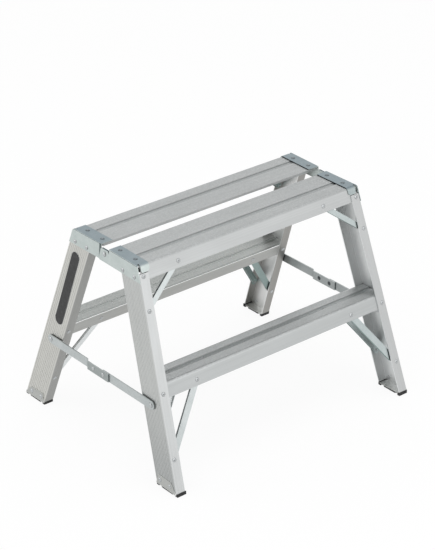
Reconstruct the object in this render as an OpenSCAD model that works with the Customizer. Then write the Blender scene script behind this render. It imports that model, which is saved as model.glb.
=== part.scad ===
// Folding work trestle: two leaning frames of channel legs and ridged treads,
// hinged at the top through lapped end caps and held open by two folding spreaders.
// Frame: X along the treads, Y front to back, Z up, origin on the floor under the middle.
// Each piece is drawn for the front frame's left end, then placed on either frame and end.

/* [Stand] */
// Height from the floor to the top of the end caps
stand_h = 577; // [540:1:640]
// Length over the leg webs at the floor
base_len = 826; // [790:1:900]
// Length over the leg webs at the top
top_len = 752; // [710:1:780]
// Depth over the leg flanges at the floor
base_depth = 672; // [640:1:720]
// Depth over the leg flanges at the top
top_depth = 276; // [264:1:290]

/* [Legs] */
// Width of a leg's web
leg_web_w = 78; // [72:0.5:84]
// Width of a leg's flanges
leg_flange_w = 29; // [26:0.5:36]
// Thickness of a leg's web
leg_web_t = 2.2; // [1.6:0.1:2.6]
// Thickness of a leg's flanges
leg_flange_t = 2.6; // [1.8:0.1:3.2]
// Corner radius of a leg's section
leg_corner_r = 2; // [1:0.1:3]
// Drop of a leg's top below the top of the caps
leg_top_drop = 21.5; // [21.5:0.5:22.5]
// Number of shallow grooves down the outside of a web
web_groove_count = 11; // [3:1:15]
// Width of a web groove
web_groove_w = 2; // [1:0.1:3]
// Depth of a web groove
web_groove_d = 0.4; // [0.2:0.05:0.7]

/* [Treads] */
// Height of the top of the lower treads
lower_tread_z = 280.5; // [240:0.5:320]
// Open gap between the two top treads
tread_gap = 37; // [30:1:46]
// Wall thickness of a tread
tread_t = 2.4; // [1.8:0.1:3]
// Height of a tread's flanges
tread_h = 38; // [35:0.5:42]
// Radius along a tread's outer edge
tread_edge_r = 9; // [5:0.5:10]
// Radius along a tread's inner edge
tread_inner_r = 3; // [2.6:0.1:5]
// Depth of the lip along the inner edge of a top tread
tread_lip_h = 6.5; // [4:0.5:9]
// Spacing of the tread's ridges
ridge_pitch = 5; // [4:0.5:8]
// Width of the groove between two ridges, at its top
ridge_groove_w = 2.8; // [1.5:0.1:3.5]
// Width of the groove between two ridges, at its floor
ridge_floor_w = 1.4; // [0.6:0.1:1.5]
// Depth of the groove between two ridges
ridge_d = 0.9; // [0.4:0.1:1.1]
// Width of the drain channel along a tread
channel_w = 15; // [10:0.5:15.5]
// Depth of the drain channel
channel_d = 2; // [1:0.5:4]
// Distance of the channel's middle from the outer edge, on a top tread
top_channel_in = 47.5; // [47.5:0.5:54]
// Distance of the channel's middle from the outer edge, on a lower tread
lower_channel_in = 41; // [36:0.5:46]
// Radius of a drain hole
drain_r = 3.4; // [1.5:0.1:4]
// Distance of a drain hole from the middle of the stand
drain_x = 211; // [150:1:230]

/* [End caps] */
// Thickness of the cap's sheet
cap_t = 2; // [1.2:0.1:2.6]
// Bend radius on the outside of the cap's folds
cap_bend_r = 3; // [2.7:0.1:5]
// Width of the cap's top plate
cap_w = 35; // [31:0.5:42]
// Height of the cap's side plate
cap_drop = 43; // [38:0.5:50]
// Radius of the side plate's upper corner, next to the front tab
cap_corner_r = 11; // [6:0.5:12]
// Height of the cap's front tab
tab_drop = 20; // [18:0.5:21]
// Radius of the tab's foot, on the side of the slot
tab_slot_r = 5; // [3:0.5:8]
// Radius of the tab's foot, on the side of the tread
tab_inner_r = 10; // [6:0.5:12]
// Slot between the tab and the side plate
tab_slot = 8.5; // [4:0.5:10]
// Distance of the top plate's end from the middle of the stand
cap_end_y = 19; // [17:0.5:24]
// Reach of the hinge ear past the middle of the stand, at its foot
ear_low_reach = 24.5; // [20:0.5:27]
// Reach of the hinge ear past the middle of the stand, at its top
ear_high_reach = 16; // [13:0.5:19]
// Drop of the ear's top below the top plate
ear_dip = 8; // [6:0.5:10]
// Width and depth of the bend relief notch beside the ear
ear_notch = 6; // [3:0.5:7]
// Corner radius of the ear
ear_corner_r = 4; // [2:0.5:6]
// Hinge axis below the top of the caps
hinge_drop = 21; // [20:0.5:25]
// Thickness of the washer between the hinge ears
hinge_washer_t = 0.5; // [0.4:0.1:1]
// Distance of the top plate's rivets from the cap's outer edge
cap_rivet_in = 20; // [16:0.5:24]
// Distance of the top plate's inner rivet from the middle of the stand
cap_rivet_near_y = 40; // [36:0.5:46]
// Distance of the top plate's outer rivet from the middle of the stand
cap_rivet_far_y = 103; // [103:0.5:108]
// Height of the side plate's rivets below the top of the caps
cap_web_rivet_drop = 34; // [31:0.5:36]
// Place of the side plate's outer rivet across the web
cap_web_rivet_outer = 21; // [14:0.5:28]
// Place of the side plate's inner rivet across the web
cap_web_rivet_inner = 67; // [50:0.5:68]
// Height of the top tread's rivets below the top of the caps
top_rivet_drop = 28; // [27.5:0.5:30]

/* [Braces] */
// Width of an upper brace
upper_brace_w = 14.5; // [12:0.5:16]
// Width of a lower brace
lower_brace_w = 19; // [15:0.5:19.5]
// Thickness of a brace's sheet
brace_t = 1.6; // [1.2:0.1:2]
// Depth of a brace's channel section
brace_depth = 6.5; // [5.5:0.5:8]
// Bend radius on the outside of a brace's section
brace_bend_r = 5; // [3:0.5:5.5]
// Length of a brace's flat end, from its rivet to the channel section
brace_flat = 15; // [13:0.5:20]
// Upper brace's rivet on the tread, from the middle of the stand
upper_brace_x = 250; // [220:1:270]
// Upper brace's rivet on the tread, below the top of the caps
upper_brace_drop = 22; // [21:0.5:24]
// Height of an upper brace's rivet on the leg
upper_brace_leg_z = 463; // [430:1:490]
// Lower brace's rivet on the tread, from the middle of the stand
lower_brace_x = 271; // [240:1:290]
// Lower brace's rivet on the tread, below the lower tread's top
lower_brace_drop = 22; // [20:0.5:25]
// Height of a lower brace's rivet on the leg
lower_brace_leg_z = 93; // [70:1:130]

/* [Spreaders] */
// Width of a spreader bar
bar_w = 25; // [20:0.5:28]
// Thickness of a spreader bar
bar_t = 3; // [2:0.1:4]
// Height of the spreader's pivots on the legs
spreader_z = 219.6; // [200:0.2:240]
// Distance of the centre pivot and of the stop stud from the middle of the stand
stud_y = 21; // [18:0.5:24]
// Reach of the rear bar's lap past the middle of the stand
lap_reach = 44; // [38:0.5:48]
// Length of the sloping step in the rear bar
joggle_run = 9; // [6:0.5:12]
// Stand-off of a bar from the leg it turns on
spacer_t = 2; // [1.6:0.1:3]
// Radius of a stand-off spacer
spacer_r = 8; // [6:0.5:9]

/* [Feet] */
// Thickness of a rubber sole between its toes
sole_t = 5; // [4:0.5:7]
// Thickness of a sole's backing above its lugs
sole_back_t = 1.5; // [1:0.25:2.5]
// Inset of a sole from the web, where the web lies furthest in
sole_inset = 0.5; // [0.2:0.1:3]
// Height of a sole's toes, under the leg's two flanges
toe_h = 8.5; // [7.5:0.5:12]
// Length of the lug below a toe
toe_len = 9; // [7:0.5:12]
// How far the toes stand out past the edge of the flanges
toe_over = 2; // [0:0.5:4]
// Gap between a toe and the lug in the middle of a sole
sole_lug_gap = 11; // [6:0.5:14]
// Thickness of a shoe's plate
shoe_t = 1.4; // [1:0.1:2]
// Height of a shoe's side plate above its base
shoe_h = 27; // [24:0.5:34]
// Slope of the shoe's end edges: how far in from the leg's edges its top corners lie
shoe_rake = 15; // [6:0.5:18]
// Height of the shoe's rivets above the base of the shoe
shoe_rivet_h = 14; // [12:0.5:16]
// Place of the shoe's outer rivet across the web
shoe_rivet_outer = 21; // [19:0.5:28]
// Place of the shoe's inner rivet across the web
shoe_rivet_inner = 60; // [50:0.5:62]

/* [Rivets] */
// Radius of a rivet's shank
rivet_r = 2.4; // [1.8:0.1:2.8]
// Radius of a rivet's head
rivet_head_r = 6.2; // [4.6:0.1:6.4]
// Height of a rivet's head
rivet_head_h = 1.9; // [1:0.1:2.4]
// Radius of a rivet's upset tail
rivet_tail_r = 3.8; // [3:0.1:4.2]
// Height of a rivet's upset tail
rivet_tail_h = 1.6; // [1:0.1:2.2]
// Radius of the dimple in a rivet's head
rivet_dimple_r = 1.8; // [1:0.1:1.9]
// Distance of the flange rivets from the outside of the web
rivet_gauge = 12.5; // [12:0.5:14]
// Radius of a pivot's shank
pivot_r = 4; // [3:0.1:5]
// Radius of a pivot's head
pivot_head_r = 6.6; // [5.2:0.1:7.2]
// Height of a pivot's head
pivot_head_h = 2.6; // [1.6:0.1:3.4]

/* [Fits] */
// Clearance between pieces that are riveted together
fit_gap = 0.1; // [0.05:0.01:0.15]
// Radial clearance of a turning pivot in its hole
pivot_gap = 0.06; // [0.02:0.01:0.1]
// Clearance between pieces that turn past each other
turn_gap = 0.35; // [0.3:0.05:0.6]
// Clearance between the ends of a tread and the leg webs
end_gap = 0.5; // [0.3:0.1:1]
// Extra length of cutters past the face that they cut
overrun = 6; // [4:1:10]

/* [Hidden] */
$fn = 40;

mill_aluminium = "#c6c9ca";
ridged_aluminium = "#b4b7b8";
galvanised = "#a9b6bb";
bright_rivet = "#d3d6d8";
black_rubber = "#1b1b1b";

// Lean of a frame from upright, and splay of a leg within its frame
lean_slope = (base_depth - top_depth) / 2 / stand_h;
lean = atan(lean_slope);
frame_len = stand_h / cos(lean);
splay = atan((base_len - top_len) / 2 / frame_len);
// A web's plane in the stand's frame: its turn about Z and its tilt from upright
web_toe = atan(tan(splay) * sin(lean));
web_tilt = asin(sin(splay) * cos(lean));

// Levels
base_z = sole_t + shoe_t;
leg_foot_z = base_z + fit_gap;
deck_z = stand_h - cap_t - fit_gap;
leg_top_z = stand_h - leg_top_drop;
hinge_z = stand_h - hinge_drop;

// Depths across a frame, square to its flanges, from the outside of the outer flange
tread_out = leg_flange_t + fit_gap;
brace_out = tread_out + tread_t + fit_gap;
brace_leg_out = leg_flange_t + fit_gap;
tread_span = leg_web_w - 2 * tread_out;

// Sideways offset of the frames, which lets the hinge ears lap with a washer between them
ear_slant = abs(2 * ear_low_reach * tan(web_toe));
lap_shift = cap_t + hinge_washer_t + turn_gap + ear_slant;

// Widths of the treads from their outer edge
top_corner_y = -base_depth / 2 + deck_z * lean_slope + tread_out / cos(lean);
top_deck_w = -tread_gap / 2 - top_corner_y;
lower_corner_y = -base_depth / 2 + lower_tread_z * lean_slope + tread_out / cos(lean);

// Height up a frame, along its slope, of a point at a given height and depth
function up_frame(z, depth) = (z + depth * sin(lean)) / cos(lean);
// The same along a leg
function up_leg(z, depth) = up_frame(z, depth) / cos(splay);
// Half of the length over the webs at a distance up the frame
function web_x(up) = base_len / 2 - up * tan(splay);

// Half lengths of the treads: between the webs, and at the top clear of the lapped ears
top_half = min(
  web_x(up_frame(deck_z, leg_web_w)) - leg_web_t / cos(splay),
  web_x(up_frame(deck_z, top_deck_w * cos(lean))) - lap_shift) - end_gap;
lower_half = web_x(up_frame(lower_tread_z, leg_web_w)) - leg_web_t / cos(splay) - end_gap;

// Spreader: pivots in the middle of the webs, the centre pivot in front of the stand's middle
spreader_depth = leg_web_w / 2;
spreader_up = up_frame(spreader_z, spreader_depth);
spreader_y = base_depth / 2 - spreader_depth * cos(lean) - spreader_up * sin(lean);
spreader_web_x = web_x(spreader_up);
lap_step = lap_shift + bar_t + turn_gap;
joggle_y = stud_y + bar_w;

// Outline helpers
function unit(v) = v / norm(v);
arc_steps = 6;
function arc(c, r, from, to) =
  [for (i = [0 : arc_steps])
    let (a = from + (to - from) * i / arc_steps)
    c + r * [cos(a), sin(a)]];
// The corner at p, between its neighbours a and b, rounded to radius r
function round_corner(p, a, b, r) =
  let (
    u = unit(a - p),
    w = unit(b - p),
    half = acos(u * w) / 2,
    c = p + unit(u + w) * r / sin(half),
    s = p + u * r / tan(half) - c,
    e = p + w * r / tan(half) - c,
    from = atan2(s[1], s[0]),
    swing = atan2(e[1], e[0]) - from,
    turn = swing > 180 ? swing - 360 : swing < -180 ? swing + 360 : swing
  ) arc(c, r, from, from + turn);
function round_outline(pts, radii) =
  let (n = len(pts))
  [for (i = [0 : n - 1])
    each radii[i] == 0 ? [pts[i]]
      : round_corner(pts[i], pts[(i + n - 1) % n], pts[(i + 1) % n], radii[i])];

// Placing
module on_frame(rear) {
  rotate([0, 0, rear ? 180 : 0])
    translate([-lap_shift / 2, 0, 0])
      children();
}
module at_end(mirrored) {
  if (mirrored)
    mirror([1, 0, 0]) children();
  else
    children();
}
module place(rear, right) {
  on_frame(rear) at_end(rear != right) children();
}
module both_ends() {
  for (mirrored = [false, true])
    at_end(mirrored) children();
}
// Frame plane: X along the treads, Y inwards from the outer flange, Z up the slope
module in_frame() {
  translate([0, -base_depth / 2, 0])
    rotate([-lean, 0, 0])
      children();
}
// Leg: X inwards from the web's outside, Y inwards from the outer flange, Z up the leg
module along_leg() {
  in_frame()
    translate([-base_len / 2, 0, 0])
      rotate([0, splay, 0])
        children();
}
// An outline drawn in Y and Z, run along X
module run_x(from, to) {
  translate([from, 0, 0])
    rotate([90, 0, 90])
      linear_extrude(height = to - from)
        children();
}
// An outline drawn in X and Z, run along Y
module run_y(from, to) {
  translate([0, to, 0])
    rotate([90, 0, 0])
      linear_extrude(height = to - from)
        children();
}

// Sheet bent down along one edge, in section: the top runs inwards from the outer corner,
// and the side drops from it at a slant
module bent_section(r, t, slant, drop, reach) {
  c = [r * (1 - sin(slant)) / cos(slant), -r];
  foot = [-drop * tan(slant), -drop];
  polygon(concat(
    [foot],
    arc(c, r, 180 - slant, 90),
    [[reach, 0], [reach, -t]],
    arc(c, r - t, 90, 180 - slant),
    [foot + [t / cos(slant), 0]]));
}
module rounded_rect(w, h, r) {
  translate([r, 0])
    square([w - 2 * r, h]);
  translate([0, r])
    square([w, h - 2 * r]);
  for (x = [r, w - r], y = [r, h - r])
    translate([x, y])
      circle(r = r);
}

// Rivets, drawn along Z with the head below zero and the tail past the grip
module dome(r, h) {
  ball_r = (r * r + h * h) / (2 * h);
  intersection() {
    translate([0, 0, ball_r - h])
      sphere(r = ball_r, $fn = 64);
    translate([-r - overrun, -r - overrun, -h - overrun])
      cube([2 * (r + overrun), 2 * (r + overrun), h + overrun]);
  }
}
module rivet(grip) {
  difference() {
    union() {
      dome(rivet_head_r, rivet_head_h);
      cylinder(r = rivet_r, h = grip);
      translate([0, 0, grip])
        mirror([0, 0, 1])
          dome(rivet_tail_r, rivet_tail_h);
    }
    translate([0, 0, -rivet_head_h - overrun])
      cylinder(r1 = rivet_dimple_r + overrun, r2 = 0, h = rivet_dimple_r + overrun);
  }
}
module rivet_hole(grip) {
  translate([0, 0, -overrun])
    cylinder(r = rivet_r + fit_gap, h = grip + 2 * overrun);
}
// Turns a rivet so that it runs inwards through a flange, a web or a top plate
module through_flange() {
  rotate([-90, 0, 0]) children();
}
module through_web() {
  rotate([0, 90, 0]) children();
}
module through_top() {
  rotate([180, 0, 0]) children();
}

// Rivet places on the front frame's left end
module at_outer_tread_rivet(z) {
  along_leg()
    translate([rivet_gauge, -fit_gap, up_leg(z, 0)])
      through_flange() children();
}
module at_inner_tread_rivet(z) {
  along_leg()
    translate([rivet_gauge, leg_web_w + fit_gap, up_leg(z, leg_web_w)])
      mirror([0, 1, 0])
        through_flange() children();
}
tread_grip = leg_flange_t + tread_t + 3 * fit_gap;
top_tread_rivet_z = stand_h - top_rivet_drop;
lower_tread_rivet_z = lower_tread_z - lower_brace_drop;
module at_cap_top_rivets() {
  for (y = [cap_rivet_near_y, cap_rivet_far_y])
    translate([-top_len / 2 + cap_rivet_in, -y, stand_h + fit_gap])
      through_top() children();
}
cap_top_grip = cap_t + tread_t + 3 * fit_gap;
module at_cap_web_rivets() {
  for (y = [cap_web_rivet_outer, cap_web_rivet_inner])
    along_leg()
      translate([-cap_t - 2 * fit_gap, y, up_leg(stand_h - cap_web_rivet_drop, y)])
        through_web() children();
}
cap_web_grip = cap_t + leg_web_t + 3 * fit_gap;
module at_shoe_rivets() {
  for (y = [shoe_rivet_outer, shoe_rivet_inner])
    along_leg()
      translate([-shoe_t - 2 * fit_gap, y, up_leg(base_z + shoe_rivet_h, y)])
        through_web() children();
}
shoe_grip = shoe_t + leg_web_t + 3 * fit_gap;

// Braces lie in a frame's plane, behind the outer flanges or in front of the inner ones
module brace_side(inner) {
  if (inner)
    translate([0, leg_web_w, 0]) mirror([0, 1, 0]) children();
  else
    children();
}
function brace_head(x, z, inner) = [-x, up_frame(z, inner ? leg_web_w : 0)];
function brace_foot(z, inner) =
  let (up = up_frame(z, inner ? leg_web_w : 0))
  [-web_x(up) + rivet_gauge / cos(splay), up];
upper_head = brace_head(upper_brace_x, stand_h - upper_brace_drop, false);
upper_foot = brace_foot(upper_brace_leg_z, false);
function lower_head(inner) = brace_head(lower_brace_x, lower_tread_z - lower_brace_drop, inner);
function lower_foot(inner) = brace_foot(lower_brace_leg_z, inner);
module at_brace_head(head, inner) {
  in_frame()
    brace_side(inner)
      translate([head[0], tread_out - fit_gap, head[1]])
        through_flange() children();
}
module at_brace_foot(foot, inner) {
  in_frame()
    brace_side(inner)
      translate([foot[0], -fit_gap, foot[1]])
        through_flange() children();
}
brace_head_grip = tread_t + brace_t + 3 * fit_gap;
brace_foot_grip = leg_flange_t + brace_t + 3 * fit_gap;
module at_each_brace_head() {
  at_brace_head(upper_head, false) children();
  for (inner = [false, true])
    at_brace_head(lower_head(inner), inner) children();
}
module at_each_brace_foot() {
  at_brace_foot(upper_foot, false) children();
  for (inner = [false, true])
    at_brace_foot(lower_foot(inner), inner) children();
}

// Leg: a channel with its web outwards, cut level at both ends
module leg_section() {
  difference() {
    rounded_rect(2 * leg_flange_w, leg_web_w, leg_corner_r);
    translate([leg_web_t, leg_flange_t])
      square([2 * leg_flange_w, leg_web_w - 2 * leg_flange_t]);
    translate([leg_flange_w, -overrun])
      square([2 * leg_flange_w, leg_web_w + 2 * overrun]);
    for (i = [1 : web_groove_count])
      translate([-overrun, i * leg_web_w / (web_groove_count + 1) - web_groove_w / 2])
        square([overrun + web_groove_d, web_groove_w]);
  }
}
module leg() color(mill_aluminium) {
  difference() {
    along_leg()
      translate([0, 0, -frame_len / 2])
        linear_extrude(height = 2 * frame_len)
          leg_section();
    translate([-base_len, -base_depth, leg_foot_z - stand_h])
      cube([2 * base_len, 2 * base_depth, stand_h]);
    translate([-base_len, -base_depth, leg_top_z])
      cube([2 * base_len, 2 * base_depth, stand_h]);
    for (y = [toe_outer_y - base_depth, toe_inner_y])
      translate([-base_len, y, toe_h + fit_gap - stand_h])
        cube([2 * base_len, base_depth, stand_h]);
    at_outer_tread_rivet(top_tread_rivet_z) rivet_hole(tread_grip);
    at_inner_tread_rivet(top_tread_rivet_z) rivet_hole(tread_grip);
    at_outer_tread_rivet(lower_tread_rivet_z) rivet_hole(tread_grip);
    at_inner_tread_rivet(lower_tread_rivet_z) rivet_hole(tread_grip);
    at_cap_web_rivets() rivet_hole(cap_web_grip);
    at_shoe_rivets() rivet_hole(shoe_grip);
    at_each_brace_foot() rivet_hole(brace_foot_grip);
    at_spreader_pivot() pivot_hole();
  }
}

// Treads: ridged deck with a drain channel, a rounded outer flange and an inner flange.
// Sections are outlined from the deck's outer corner, inwards and up.
edge_c = [tread_edge_r * (1 - sin(lean)) / cos(lean), -tread_edge_r];
edge_foot = [-tread_h * lean_slope, -tread_h];
flange_foot = [tread_span / cos(lean) - tread_h * lean_slope, -tread_h];
flange_wall = [tread_t / cos(lean), 0];
channel_clear = channel_w / 2 + ridge_pitch / 2;
function grooves(from, to) =
  [for (x = [from : ridge_pitch : to])
    each [
      [x - ridge_groove_w / 2, 0], [x - ridge_floor_w / 2, -ridge_d],
      [x + ridge_floor_w / 2, -ridge_d], [x + ridge_groove_w / 2, 0]]];
// The deck's upper face, from the rounded edge inwards
function deck_top(channel_in, to) =
  concat(
    grooves(tread_edge_r, channel_in - channel_clear),
    [
      [channel_in - channel_w / 2, 0], [channel_in - channel_w / 2, -channel_d],
      [channel_in + channel_w / 2, -channel_d], [channel_in + channel_w / 2, 0]],
    grooves(channel_in + channel_clear, to - ridge_groove_w));
// The deck's underside, from the inner flange back to the rounded edge
function deck_under(channel_in) =
  let (half = channel_w / 2 + tread_t, floor_z = -channel_d - tread_t)
  [
    [channel_in + half, -tread_t], [channel_in + half, floor_z],
    [channel_in - half, floor_z], [channel_in - half, -tread_t]];
outer_edge_up = concat([edge_foot], arc(edge_c, tread_edge_r, 180 - lean, 90));
outer_edge_down = concat(
  arc(edge_c, tread_edge_r - tread_t, 90, 180 - lean), [edge_foot + flange_wall]);
module top_tread_section() {
  flange_top = [(tread_span - tread_t * sin(lean)) / cos(lean), -tread_t];
  polygon(concat(
    outer_edge_up,
    deck_top(top_channel_in, top_deck_w),
    [
      [top_deck_w, 0], [top_deck_w, -tread_lip_h],
      [top_deck_w - tread_t, -tread_lip_h], [top_deck_w - tread_t, -tread_t],
      flange_top, flange_foot, flange_foot - flange_wall, flange_top - flange_wall],
    deck_under(top_channel_in),
    outer_edge_down));
}
module lower_tread_section() {
  c = [(tread_span - tread_inner_r - tread_inner_r * sin(lean)) / cos(lean), -tread_inner_r];
  polygon(concat(
    outer_edge_up,
    deck_top(lower_channel_in, c[0]),
    arc(c, tread_inner_r, 90, -lean),
    [flange_foot, flange_foot - flange_wall],
    arc(c, tread_inner_r - tread_t, -lean, 90),
    deck_under(lower_channel_in),
    outer_edge_down));
}
module top_tread() color(ridged_aluminium) {
  difference() {
    translate([0, top_corner_y, deck_z])
      run_x(-top_half, top_half)
        top_tread_section();
    both_ends() {
      at_outer_tread_rivet(top_tread_rivet_z) rivet_hole(tread_grip);
      at_inner_tread_rivet(top_tread_rivet_z) rivet_hole(tread_grip);
      at_cap_top_rivets() rivet_hole(cap_top_grip);
      at_brace_head(upper_head, false) rivet_hole(brace_head_grip);
    }
  }
}
module lower_tread() color(ridged_aluminium) {
  difference() {
    translate([0, lower_corner_y, lower_tread_z])
      run_x(-lower_half, lower_half)
        lower_tread_section();
    both_ends() {
      at_outer_tread_rivet(lower_tread_rivet_z) rivet_hole(tread_grip);
      at_inner_tread_rivet(lower_tread_rivet_z) rivet_hole(tread_grip);
      for (inner = [false, true])
        at_brace_head(lower_head(inner), inner) rivet_hole(brace_head_grip);
      translate([drain_x, lower_corner_y + lower_channel_in, lower_tread_z - tread_h])
        cylinder(r = drain_r, h = tread_h);
    }
  }
}

// End cap: one folded sheet, with a top plate, a side plate that ends in the hinge ear,
// and a front tab over the tread's rounded edge, above the leg's outer flange
module cap_side_outline() {
  foot_z = stand_h - cap_drop;
  ear_z = stand_h - ear_dip;
  front_y = -top_depth / 2 + fit_gap;
  corner_y = front_y + cap_corner_r * (1 - sin(lean)) / cos(lean);
  corner = arc([corner_y, stand_h - cap_corner_r], cap_corner_r, 90, 180 - lean);
  polygon(concat(
    [[corner_y + overrun, stand_h + overrun]],
    [for (i = [1 : arc_steps]) corner[i]],
    round_outline(
      [
        [front_y - cap_drop * lean_slope, foot_z],
        [ear_low_reach, foot_z],
        [ear_high_reach, ear_z],
        [-cap_end_y + ear_notch, ear_z],
        [-cap_end_y, ear_z - ear_notch]
      ],
      [0, ear_corner_r, ear_corner_r, 0, 0]),
    [[-cap_end_y, stand_h + overrun]]));
}
module tab_outline() {
  outer_x = -top_len / 2 + tab_slot;
  inner_x = -top_len / 2 + cap_w;
  foot_z = stand_h - tab_drop;
  polygon(round_outline(
    [
      [outer_x, stand_h + overrun],
      [outer_x - tab_drop * tan(web_tilt), foot_z],
      [inner_x, foot_z],
      [inner_x, stand_h + overrun]
    ],
    [0, tab_slot_r, tab_inner_r, 0]));
}
// Bend of the tab over the tread's rounded edge
tab_bend_r = tread_edge_r + cap_t + fit_gap;
module cap() color(galvanised) {
  skin = cap_t + fit_gap;
  front_y = -top_depth / 2 + (tread_out - skin) / cos(lean);
  fold_y = front_y + tab_bend_r * (1 - sin(lean)) / cos(lean);
  fold_x = -top_len / 2 + cap_bend_r;
  difference() {
    union() {
      intersection() {
        translate([-top_len / 2, -top_depth / 2, stand_h])
          rotate([0, 0, -web_toe])
            translate([-skin / cos(web_tilt), 0, 0])
              run_y(-base_depth / 2, base_depth / 2)
                bent_section(cap_bend_r, cap_t, web_tilt, 2 * cap_drop, cap_w + skin);
        union() {
          run_x(-base_len, fold_x)
            cap_side_outline();
          translate([fold_x - cap_t, fold_y, stand_h - cap_drop / 2])
            cube([2 * cap_w, -cap_end_y - fold_y, cap_drop]);
        }
      }
      intersection() {
        translate([0, front_y, stand_h])
          run_x(-base_len, 0)
            bent_section(tab_bend_r, cap_t, lean, 2 * tab_drop, 2 * tab_bend_r);
        run_y(-base_depth, 0)
          tab_outline();
      }
    }
    at_cap_top_rivets() rivet_hole(cap_top_grip);
    at_cap_web_rivets() rivet_hole(cap_web_grip);
    at_hinge()
      translate([0, 0, -base_len])
        cylinder(r = pivot_r + pivot_gap, h = base_len);
  }
}

// Braces: pressed strips with a channel section between flat riveted ends
module brace_strip(len, w) {
  step = brace_out - brace_leg_out;
  end_r = w / 2;
  intersection() {
    translate([0, 0, -w])
      linear_extrude(height = 2 * w)
        polygon([
          [-w, 0], [len - brace_flat, 0], [len - brace_flat + 2 * step, -step],
          [len + w, -step], [len + w, brace_t - step],
          [len - brace_flat + 2 * step, brace_t - step], [len - brace_flat, brace_t],
          [-w, brace_t]]);
    rotate([90, 0, 0])
      linear_extrude(height = 4 * w, center = true)
        union() {
          circle(r = end_r);
          translate([len, 0])
            circle(r = end_r);
          translate([0, -end_r])
            square([len, w]);
        }
  }
}
module brace_channel(len, w) {
  translate([brace_flat, 0, 0])
    rotate([90, 0, 90])
      linear_extrude(height = len - 2 * brace_flat)
        difference() {
          translate([0, -w / 2])
            rotate(90)
              mirror([0, 1])
                rounded_rect(w, 2 * brace_depth, brace_bend_r);
          translate([brace_t, -w / 2 + brace_t])
            rotate(90)
              mirror([0, 1])
                rounded_rect(w - 2 * brace_t, 2 * brace_depth, brace_bend_r - brace_t);
          translate([brace_depth, -w])
            square([2 * brace_depth, 2 * w]);
        }
}
module brace(head, foot, inner, w) color(galvanised) {
  run = foot - head;
  len = norm(run);
  difference() {
    in_frame()
      brace_side(inner)
        translate([head[0], brace_out, head[1]])
          rotate([0, -atan2(run[1], run[0]), 0]) {
            brace_strip(len, w);
            brace_channel(len, w);
          }
    at_brace_head(head, inner) rivet_hole(brace_head_grip);
    at_brace_foot(foot, inner) rivet_hole(brace_foot_grip);
  }
}
module upper_brace() brace(upper_head, upper_foot, false, upper_brace_w);
module outer_brace() brace(lower_head(false), lower_foot(false), false, lower_brace_w);
module inner_brace() brace(lower_head(true), lower_foot(true), true, lower_brace_w);

// Feet: a bent metal shoe round the foot of the web, over a rubber sole whose two toes
// stand under the leg's flanges
foot_out_y = -base_depth / 2 + base_z * lean_slope;
foot_len = leg_web_w / cos(lean);
foot_x = -web_x(up_frame(base_z, 0));
sole_len = foot_len + base_z * lean_slope;
sole_x = foot_x + sole_len * tan(web_toe) + sole_inset;
sole_w = foot_x + leg_flange_w - sole_x;
// A toe stands no further in than the flange above it, at the outer and the inner end
toe_inner_len = leg_flange_t / cos(lean);
toe_outer_len = toe_inner_len + toe_h * lean_slope;
toe_outer_y = -base_depth / 2 + toe_outer_len + fit_gap;
toe_inner_y = -base_depth / 2 + sole_len - toe_inner_len - fit_gap;
module shoe_outline() {
  top_z = base_z + shoe_h;
  shift = shoe_h * lean_slope;
  polygon([
    [foot_out_y, base_z],
    [foot_out_y + shift + shoe_rake, top_z],
    [foot_out_y + foot_len + shift - shoe_rake, top_z],
    [foot_out_y + foot_len, base_z],
    [toe_inner_y, base_z],
    [toe_inner_y, base_z - overrun],
    [toe_outer_y, base_z - overrun],
    [toe_outer_y, base_z]]);
}
module shoe() color(mill_aluminium) {
  skin = shoe_t + fit_gap;
  difference() {
    intersection() {
      translate([foot_x, foot_out_y, sole_t])
        rotate([0, 0, -web_toe])
          translate([-skin / cos(web_tilt) - shoe_t * tan(web_tilt), 0, 0])
            mirror([0, 0, 1])
              run_y(-base_depth / 2, base_depth / 2)
                bent_section(skin, shoe_t, -web_tilt, 2 * shoe_h, leg_flange_w + skin);
      run_x(-base_len, 0)
        shoe_outline();
    }
    at_shoe_rivets() rivet_hole(shoe_grip);
  }
}
module sole_outline(from, to, over) {
  translate([sole_x, -base_depth / 2 + from])
    square([sole_w + over, to - from]);
}
module sole() color(black_rubber) {
  translate([0, 0, sole_t - fit_gap - sole_back_t])
    linear_extrude(height = sole_back_t)
      sole_outline(0, sole_len, 0);
  linear_extrude(height = sole_t - fit_gap - sole_back_t / 2) {
    sole_outline(0, toe_len, toe_over);
    sole_outline(toe_len + sole_lug_gap, sole_len - toe_len - sole_lug_gap, 0);
    sole_outline(sole_len - toe_len, sole_len, toe_over);
  }
  linear_extrude(height = toe_h) {
    sole_outline(0, toe_outer_len, toe_over);
    sole_outline(sole_len - toe_inner_len, sole_len, toe_over);
  }
}

// Rivets of one frame, in groups
module tread_rivets() color(bright_rivet)
  both_ends() {
    at_outer_tread_rivet(top_tread_rivet_z) rivet(tread_grip);
    at_inner_tread_rivet(top_tread_rivet_z) rivet(tread_grip);
    at_outer_tread_rivet(lower_tread_rivet_z) rivet(tread_grip);
    at_inner_tread_rivet(lower_tread_rivet_z) rivet(tread_grip);
  }
module cap_rivets() color(bright_rivet)
  both_ends() {
    at_cap_top_rivets() rivet(cap_top_grip);
    at_cap_web_rivets() rivet(cap_web_grip);
  }
module brace_rivets() color(bright_rivet)
  both_ends() {
    at_each_brace_head() rivet(brace_head_grip);
    at_each_brace_foot() rivet(brace_foot_grip);
  }
module shoe_rivets() color(bright_rivet)
  both_ends()
    at_shoe_rivets() rivet(shoe_grip);

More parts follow.
